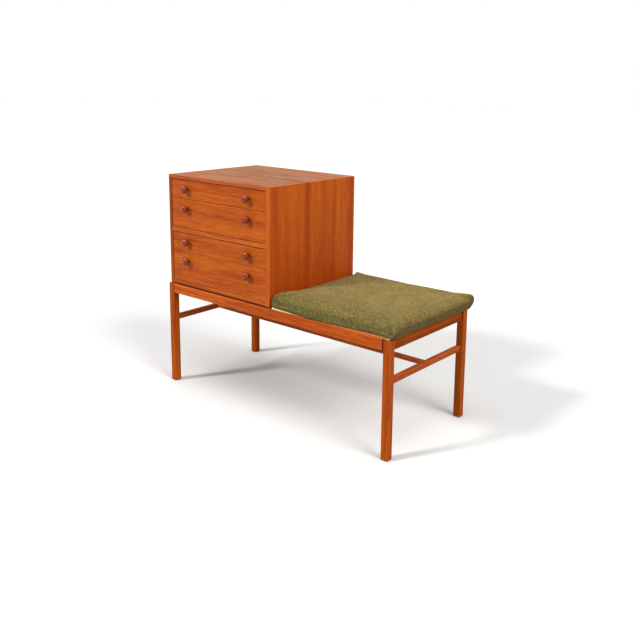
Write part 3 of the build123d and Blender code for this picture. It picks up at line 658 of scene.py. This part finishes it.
def knob_profile(radius, reach):
    """The knob's outline from foot to crown, as radius and reach: a waisted neck, a full round head."""
    points = list(KNOB_STEM)
    for step in range(KNOB_HEAD_STEPS):
        turn = math.radians(KNOB_HEAD_FROM + KNOB_HEAD_TURN * step / KNOB_HEAD_STEPS)
        points.append((math.cos(turn), KNOB_WIDEST + (1 - KNOB_WIDEST) * math.sin(turn)))
    points.append((0, 1))
    return [(radius * r, reach * h) for r, h in points]


def slotted_head(name, radius, height):
    """A round screw head with a slot, on the Y axis and facing the back."""
    form = lathe([(radius * r, height * h) for r, h in SCREW_PROFILE], SCREW_SIDES)
    for vert in form.verts:
        if abs(vert.co.z) < radius * SLOT_HALF_WIDTH and -vert.co.y > height / 2:
            vert.co.y += height * SLOT_DEPTH
    bmesh.ops.scale(form, vec=(1, -1, 1), verts=form.verts)
    return finish_mesh(form, name)


class BENCH_OT_knobs(bpy.types.Operator):
    """Turn the eight knobs and set them on the drawers, with the screws that hold them from inside"""
    bl_idname = "bench.knobs"
    bl_label = "Knobs"

    def execute(self, context):
        sides = context.scene.bench_sizes.knob_sides
        polished = knob_teak()
        steel = bpy.data.materials["zinc_plated_steel"]
        for number, drawer in enumerate(DRAWERS):
            low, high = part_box(f"{drawer}_knobs")
            radius = (high.z - low.z) / 2
            centres = [Vector((x, high.y, low.z + radius)) for x in (low.x + radius, high.x - radius)]
            form = finish_mesh(lathe(knob_profile(radius, high.y - low.y), sides), f"{drawer}_knob_form")
            knobs = copies(f"{drawer}_turned_knobs", form, centres, 0.0, number, polished, drawer)
            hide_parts(f"{drawer}_knobs")
            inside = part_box(f"{drawer}_front")[1].y
            heads = [Vector((centre.x, inside, centre.z)) for centre in centres]
            screw = slotted_head(f"{drawer}_screw_form", KNOB_SCREW_RADIUS, KNOB_SCREW_HEIGHT)
            copies(f"{drawer}_knob_screws", screw, heads, math.pi, number + KNOB_SCREW_SEED, steel,
                   drawer)
        return {"FINISHED"}


class BENCH_OT_back_screws(bpy.types.Operator):
    """Put the small screws round the back panel"""
    bl_idname = "bench.back_screws"
    bl_label = "Back panel screws"

    def execute(self, context):
        sizes = context.scene.bench_sizes
        low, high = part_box("cabinet_back")
        side_margin = sizes.screw_margin * SIDE_MARGIN
        span = high.z - low.z - 2 * sizes.screw_margin
        points = []
        for row in range(sizes.screw_rows):
            z = low.z + sizes.screw_margin + span * row / (sizes.screw_rows - 1)
            points += [Vector((x, high.y, z)) for x in (low.x + side_margin, high.x - side_margin)]
        head = slotted_head("back_screw_form", sizes.screw_head, BACK_SCREW_HEIGHT)
        steel = bpy.data.materials["zinc_plated_steel"]
        copies("back_panel_screws", head, points, math.pi, BACK_SCREW_SEED, steel, "bench")
        return {"FINISHED"}


# ---------------------------------------------------------------- cushion
CORNER_RADII = (13 * MM, 7 * MM, 4 * MM, 10 * MM)  # front right, back right, back left, front left
DRAWN_IN = 3 * MM  # how far the middle of each side lies behind its ends
SIDE_STEPS, CORNER_STEPS = 36, 8
HEM_DROP, HEM_EDGE = 5.8 * MM, 3 * MM  # below the board's top, and what is turned in
HEM_TUCK, HEM_HEIGHT = 15 * MM, 24 * MM
UPRIGHT_TOP = 5 * MM
RIM_START, RIM_HEIGHT, RIM_ROUND = 10 * MM, 40 * MM, 32 * MM
RIM_TURN, RIM_STEPS = 80, 7  # degrees
CROWN_SHARES = (0.17, 0.25, 0.36, 0.48, 0.62, 0.80)
EDGE_BAND = 60 * MM  # how far in from an edge its own shaping reaches
FRONT_LIFT, LIFTED_LENGTH = 9 * MM, 150 * MM  # the hem beside the chest
OUTER_LIFT = 12 * MM  # and at the outer corner
RIGHT_LIFT, RIGHT_BOW = 3 * MM, 3 * MM  # the right end's hem, and its bow
BOW_PLACE, BOW_SPREAD = 90 * MM, 50 * MM
PUFF_LIFT, PUFF_PLACE, PUFF_SPREAD = 11 * MM, 28 * MM, 48 * MM
HEM_POINTED, FRONT_LEFT_POINTED = 0.4, 0.6  # shares of a full point that these corners are drawn to
BACK_RIGHT_LIFT = 11 * MM
BACK_LEFT_LIFT, BACK_LEFT_REACH = 5 * MM, 130 * MM
GATHERED_REACH = 70 * MM  # the front right corner, which is drawn out and down over the frame
GATHERED_OUT, GATHERED_FORWARD, GATHERED_DOWN = 7 * MM, 4 * MM, 8 * MM
CREASE_BAND = 16 * MM
RIGHT_CREASES = ((20 * MM, 4 * MM, 3 * MM), (36 * MM, 5 * MM, 2 * MM))  # place, width, depth
FRONT_CREASE = (30 * MM, 4 * MM, 2 * MM)
KNOT_PLACE = (385 * MM, 10 * MM, 4 * MM)  # from the left, from the back, below the rim
KNOT_HEIGHT, KNOT_SPREAD = 3.5 * MM, 5 * MM
HELD_HEIGHT = 4 * MM
CLOTH_FRAMES = 20
CLOTH = {"quality": 6, "mass": 0.35, "tension_stiffness": 30, "compression_stiffness": 30,
         "shear_stiffness": 12, "bending_stiffness": 2.0, "use_pressure": True,
         "uniform_pressure_force": 4, "vertex_group_mass": "held"}
MOST_PROUD, CHEST_SIDE_PROUD = 7 * MM, 3 * MM
NAP = ((90, 0.5 * MM), (260, 0.35 * MM))  # waves to a metre, and their height


def cushion_outline(half_x, half_y, grown):
    """Points round the cushion's plan: rounded corners, with the sides drawn in between them."""
    points = []
    for side in range(4):
        along, out = (half_x, half_y) if side % 2 == 0 else (half_y, half_x)
        before, after = CORNER_RADII[side - 1] + grown, CORNER_RADII[side] + grown
        turn = Matrix.Rotation(math.radians(90 * side), 2)
        for step in range(SIDE_STEPS):
            place = before - along + (2 * along - before - after) * step / SIDE_STEPS
            points.append(turn @ Vector((place, DRAWN_IN * (1 - (place / along) ** 2) - out)))
        for step in range(CORNER_STEPS):
            angle = math.radians(90 * step / CORNER_STEPS)
            points.append(turn @ Vector((along - after + after * math.sin(angle),
                                         after - after * math.cos(angle) - out)))
    return points


def cushion_rings(height, reach):
    """Height above the board and inset of each ring: hem, upright side, wide soft rim and low crown."""
    hem = (-HEM_DROP - HEM_EDGE, -HEM_DROP, -HEM_DROP / 2, 0.0, UPRIGHT_TOP)
    rings = [(rise, 0.0) for rise in hem]
    for step in range(RIM_STEPS):
        turn = math.radians(RIM_TURN * step / (RIM_STEPS - 1))
        rise = RIM_START + (RIM_HEIGHT - RIM_START) * math.sin(turn)
        rings.append((rise, RIM_ROUND * (1 - math.cos(turn))))
    for share in CROWN_SHARES:
        rings.append((RIM_HEIGHT + (height - RIM_HEIGHT) * (1 - (1 - share) ** 2), share * reach))
    return rings


def cushion_form(low, high, slack):
    """The unfilled cushion: a hem round the board's edge, upright sides, a soft rim and a low crown."""
    middle = (low + high) / 2
    half_x = (high.x - low.x) / 2 - slack
    half_y = (high.y - low.y) / 2 - slack
    height = high.z - low.z - slack
    form = bmesh.new()
    loops = []
    for rise, inset in cushion_rings(height, min(half_x, half_y)):
        tuck = HEM_TUCK * max(0.0, 1 - (rise + HEM_DROP) / HEM_HEIGHT) ** 2
        loops.append([form.verts.new((middle.x + p.x * (1 - tuck * max(0.0, p.x) / half_x ** 2),
                                      middle.y + p.y * (1 - tuck * max(0.0, p.y) / half_y ** 2),
                                      low.z + rise))
                      for p in cushion_outline(half_x - inset, half_y - inset, inset / 2)])
    count = len(loops[0])
    for lower, upper in zip(loops, loops[1:]):
        for k in range(count):
            form.faces.new((lower[k], lower[(k + 1) % count], upper[(k + 1) % count], upper[k]))
    form.faces.new(loops[0][::-1])
    crown = form.verts.new((middle.x, middle.y, low.z + height))
    for k in range(count):
        form.faces.new((loops[-1][k], loops[-1][(k + 1) % count], crown))
    bmesh.ops.triangulate(form, faces=[f for f in form.faces if len(f.verts) > 4])
    return finish_mesh(form, "cushion_form")


def hill(distance, spread):
    """A smooth hill: one at no distance, and nearly nothing past twice its spread."""
    return math.exp(-(distance / spread) ** 2)


def fade(distance, reach):
    """One at no distance, falling evenly to nothing at its reach."""
    return max(0.0, 1 - max(0.0, distance) / reach)


def hem_lift(from_left, from_front, from_right):
    """How far the hem stands off the frame: it rises beside the chest and towards the outer corner."""
    share = max(0.0, from_left) / (from_left + from_right)
    front = FRONT_LIFT * fade(from_left, LIFTED_LENGTH) ** 0.7 + OUTER_LIFT * share ** 1.5
    right = RIGHT_LIFT + RIGHT_BOW * hill(from_front - BOW_PLACE, BOW_SPREAD)
    return max(front * fade(from_front, EDGE_BAND), right * fade(from_right, EDGE_BAND))


def crease(distance, side, place, width, depth):
    """The depth of an upright crease that is deepest half-way up the side."""
    return depth * hill(distance - place, width) * math.sin(math.pi * side)


def shape_corners(mesh, low, high):
    """Lift the hem, puff the corner beside the chest, and raise and gather the other corners."""
    knot = Vector((low.x + KNOT_PLACE[0], high.y - KNOT_PLACE[1], low.z + RIM_HEIGHT - KNOT_PLACE[2]))
    for vert in mesh.vertices:
        co = vert.co
        side = min(1.0, max(0.0, (co.z - low.z) / RIM_HEIGHT))
        hem = 1 - side
        from_left, from_right = co.x - low.x, high.x - co.x
        from_front, from_back = co.y - low.y, high.y - co.y
        left, right = fade(from_left, EDGE_BAND), fade(from_right, EDGE_BAND)
        front, back = fade(from_front, EDGE_BAND), fade(from_back, EDGE_BAND)
        co.z += hem_lift(from_left, from_front, from_right) * hem
        puff = hill(from_left, PUFF_SPREAD) * hill(from_front - PUFF_PLACE, PUFF_SPREAD)
        co.z += PUFF_LIFT * puff * side
        co.x += right * back * (HEM_POINTED + (1 - HEM_POINTED) * side) * from_right
        co.x -= max(left * back, left * front) * side * from_left
        co.y += max(right * back, left * back) * side * from_back
        co.y -= FRONT_LEFT_POINTED * left * front * side * from_front
        co.z += BACK_RIGHT_LIFT * right * back * side
        co.z += BACK_LEFT_LIFT * left * fade(from_back, BACK_LEFT_REACH) * side
        gathered = fade(from_right, GATHERED_REACH) * fade(from_front, GATHERED_REACH)
        co.x += GATHERED_OUT * gathered * hem
        co.y -= GATHERED_FORWARD * gathered * hem
        co.z -= GATHERED_DOWN * gathered ** 2 * hem
        if co.x > high.x - CREASE_BAND:
            co.x -= sum(crease(from_front, side, *shape) for shape in RIGHT_CREASES)
        if co.y < low.y + CREASE_BAND:
            co.y += crease(high.x - co.x, side, *FRONT_CREASE)
        co.z += KNOT_HEIGHT * hill((co - knot).length, KNOT_SPREAD)


def apply_modifiers(piece):
    """Replace a piece's mesh by its evaluated mesh and drop its modifiers."""
    mesh = evaluated_mesh(piece)
    piece.modifiers.clear()
    piece.data = mesh


def fill_cushion(piece, travel):
    """Blow the cushion up as cloth under pressure, its underside held, and cap how far a point moves."""
    start = [vert.co.copy() for vert in piece.data.vertices]
    base = min(co.z for co in start)
    held = piece.vertex_groups.new(name=CLOTH["vertex_group_mass"])
    held.add([k for k, co in enumerate(start) if co.z < base + HELD_HEIGHT], 1.0, "REPLACE")
    modifier = piece.modifiers.new("cloth", "CLOTH")
    for name, value in CLOTH.items():
        setattr(modifier.settings, name, value)
    modifier.settings.effector_weights.gravity = 0
    modifier.point_cache.frame_start = 1
    modifier.point_cache.frame_end = CLOTH_FRAMES
    for step in range(CLOTH_FRAMES):
        bpy.context.scene.frame_set(step + 1)
    apply_modifiers(piece)
    bpy.context.scene.frame_set(1)
    for vert, before in zip(piece.data.vertices, start):
        move = vert.co - before
        if move.length > travel:
            vert.co = before + move.normalized() * travel


def fit_plan(mesh, low, high):
    """Stretch a mesh in plan until it just fills its space."""
    for axis in (0, 1):
        places = [vert.co[axis] for vert in mesh.vertices]
        least, most = min(places), max(places)
        scale = (high[axis] - low[axis]) / (most - least)
        for vert in mesh.vertices:
            vert.co[axis] = low[axis] + (vert.co[axis] - least) * scale


def settle_cushion(mesh, low, high):
    """Rest the hem on the frame, keep the cushion off the chest and give the wool its uneven nap."""
    leg_low, leg_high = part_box("leg_front_right")
    normals = [vert.normal.copy() for vert in mesh.vertices]
    for vert, normal in zip(mesh.vertices, normals):
        co = vert.co.copy()
        co += normal * sum(noise.noise(co * waves) * rise for waves, rise in NAP)
        co.x = min(max(co.x, low.x - CHEST_SIDE_PROUD), high.x + MOST_PROUD)
        co.y = min(max(co.y, low.y - MOST_PROUD), high.y + MOST_PROUD)
        if co.x < leg_high.x + MM and co.y > leg_low.y - MM:
            co.z = max(co.z, low.z - HEM_DROP)
        vert.co = co


class BENCH_OT_cushion(bpy.types.Operator):
    """Make the upholstered cushion, filled and creased as worn wool over foam"""
    bl_idname = "bench.cushion"
    bl_label = "Seat cushion"

    def execute(self, context):
        sizes = context.scene.bench_sizes
        low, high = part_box("seat_cushion")
        piece = link_object("seat_upholstery", cushion_form(low, high, sizes.cushion_slack))
        remesh = piece.modifiers.new("remesh", "REMESH")
        remesh.mode = "VOXEL"
        remesh.voxel_size = sizes.cushion_voxel
        apply_modifiers(piece)
        fill_cushion(piece, sizes.cushion_travel)
        fit_plan(piece.data, low, high)
        shape_corners(piece.data, low, high)
        finer = piece.modifiers.new("finer", "SUBSURF")
        finer.levels = 1
        finer.render_levels = 1
        apply_modifiers(piece)
        settle_cushion(piece.data, low, high)
        piece.data.shade_smooth()
        finish_piece(piece, wool(), "seat")
        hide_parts("seat_cushion")
        return {"FINISHED"}


# ---------------------------------------------------------------- stage
FLOOR_REACH = 30.0
# Where each lamp's light comes from, its strength, and its spread in degrees.
LAMPS = {
    "overhead_light": ((0.0, -0.05, 1.0), 2.3, 50),
    "key_light": ((-0.55, -1.0, 0.85), 3.9, 10),
    "fill_light": ((1.0, -0.15, 0.75), 3.8, 30),
}
CAMERA_PLACE = (1.7008, -1.9271, 1.0883)
CAMERA_YAW, CAMERA_PITCH, CAMERA_ROLL = (math.radians(turn) for turn in (38.88, 10.82, 0.91))
SENSOR_WIDTH = 36.0  # millimetres
FOCAL_PIXELS = 779.41
PHOTO_PIXELS = 640
PHOTO_CENTRE = (346.26, 230.06)


class BENCH_OT_stage(bpy.types.Operator):
    """Set the pale floor, the studio light and the camera of the photograph"""
    bl_idname = "bench.stage"
    bl_label = "Stage"

    def execute(self, context):
        scene = context.scene
        paper, tree = new_material("studio_paper")
        finish_material(tree, scene.bench_colours.floor, 0.9)
        floor_mesh = bpy.data.meshes.new("floor")
        corners = [(x * FLOOR_REACH, y * FLOOR_REACH, 0) for x, y in ((-1, -1), (1, -1), (1, 1), (-1, 1))]
        floor_mesh.from_pydata(corners, [], [(0, 1, 2, 3)])
        floor_mesh.materials.append(paper)
        link_object("floor", floor_mesh)
        studio_world(scene)
        for name, (source, strength, spread) in LAMPS.items():
            soft_sun(name, source, strength, spread)
        photo_camera(scene)
        scene.view_settings.view_transform = "Standard"
        return {"FINISHED"}


def studio_world(scene):
    """A pale studio: white round the horizon and dimmer overhead."""
    world = bpy.data.worlds.new("studio")
    world.use_nodes = True
    tree = world.node_tree
    tree.nodes.clear()
    direction = add_node(tree, "TexCoord", output="Generated")
    height = add_node(tree, "SeparateXYZ", {"Vector": direction}, "Z")
    level = add_node(tree, "MapRange", {"Value": height, "From Min": 0.12, "From Max": 0.45,
                                        "To Min": 1.0, "To Max": 0.4})
    sky = add_node(tree, "Background", {"Color": linear("#ffffff"), "Strength": level})
    add_node(tree, "OutputWorld", {"Surface": sky})
    scene.world = world


def soft_sun(name, source, strength, spread):
    """A far, even lamp that shines from a direction, softened by its spread in degrees."""
    light = bpy.data.lights.new(name, "SUN")
    light.energy = strength
    light.angle = math.radians(spread)
    lamp = link_object(name, light)
    lamp.rotation_euler = Vector(source).to_track_quat("Z", "Y").to_euler()


def photo_camera(scene):
    """The camera that was fitted to the photograph's straight edges."""
    data = bpy.data.cameras.new("photo_camera")
    data.sensor_width = SENSOR_WIDTH
    data.lens = FOCAL_PIXELS / PHOTO_PIXELS * SENSOR_WIDTH
    data.shift_x = (PHOTO_PIXELS / 2 - PHOTO_CENTRE[0]) / PHOTO_PIXELS
    data.shift_y = (PHOTO_CENTRE[1] - PHOTO_PIXELS / 2) / PHOTO_PIXELS
    data.clip_end = 100
    turn = (Matrix.Rotation(CAMERA_YAW, 4, "Z") @ Matrix.Rotation(math.pi / 2 - CAMERA_PITCH, 4, "X")
            @ Matrix.Rotation(CAMERA_ROLL, 4, "Z"))
    scene.camera = link_object("photo_camera", data)
    scene.camera.matrix_world = Matrix.Translation(CAMERA_PLACE) @ turn


# ---------------------------------------------------------------- add-on
class BENCH_PT_panel(bpy.types.Panel):
    """The bench's operators and settings in the sidebar"""
    bl_label = "Telephone bench"
    bl_idname = "BENCH_PT_panel"
    bl_space_type = "VIEW_3D"
    bl_region_type = "UI"
    bl_category = "Bench"

    def draw(self, context):
        for operator in OPERATORS:
            self.layout.operator(operator.bl_idname)
        for group in (context.scene.bench_sizes, context.scene.bench_colours):
            column = self.layout.column()
            for name in group.bl_rna.properties.keys():
                if name not in ("rna_type", "name"):
                    column.prop(group, name)


OPERATORS = (BENCH_OT_woodwork, BENCH_OT_knobs, BENCH_OT_back_screws, BENCH_OT_cushion, BENCH_OT_stage)
CLASSES = (BenchColours, BenchSizes, *OPERATORS, BENCH_PT_panel)


def register():
    """Register the classes and hang the settings on the scene."""
    for cls in CLASSES:
        bpy.utils.register_class(cls)
    bpy.types.Scene.bench_colours = bpy.props.PointerProperty(type=BenchColours)
    bpy.types.Scene.bench_sizes = bpy.props.PointerProperty(type=BenchSizes)


def unregister():
    """Take the settings and the classes away again."""
    del bpy.types.Scene.bench_sizes
    del bpy.types.Scene.bench_colours
    for cls in reversed(CLASSES):
        bpy.utils.unregister_class(cls)


def main():
    """Dress the whole bench."""
    register()
    bpy.ops.bench.woodwork()
    bpy.ops.bench.knobs()
    bpy.ops.bench.back_screws()
    bpy.ops.bench.cushion()
    bpy.ops.bench.stage()


if __name__ == "__main__":
    main()
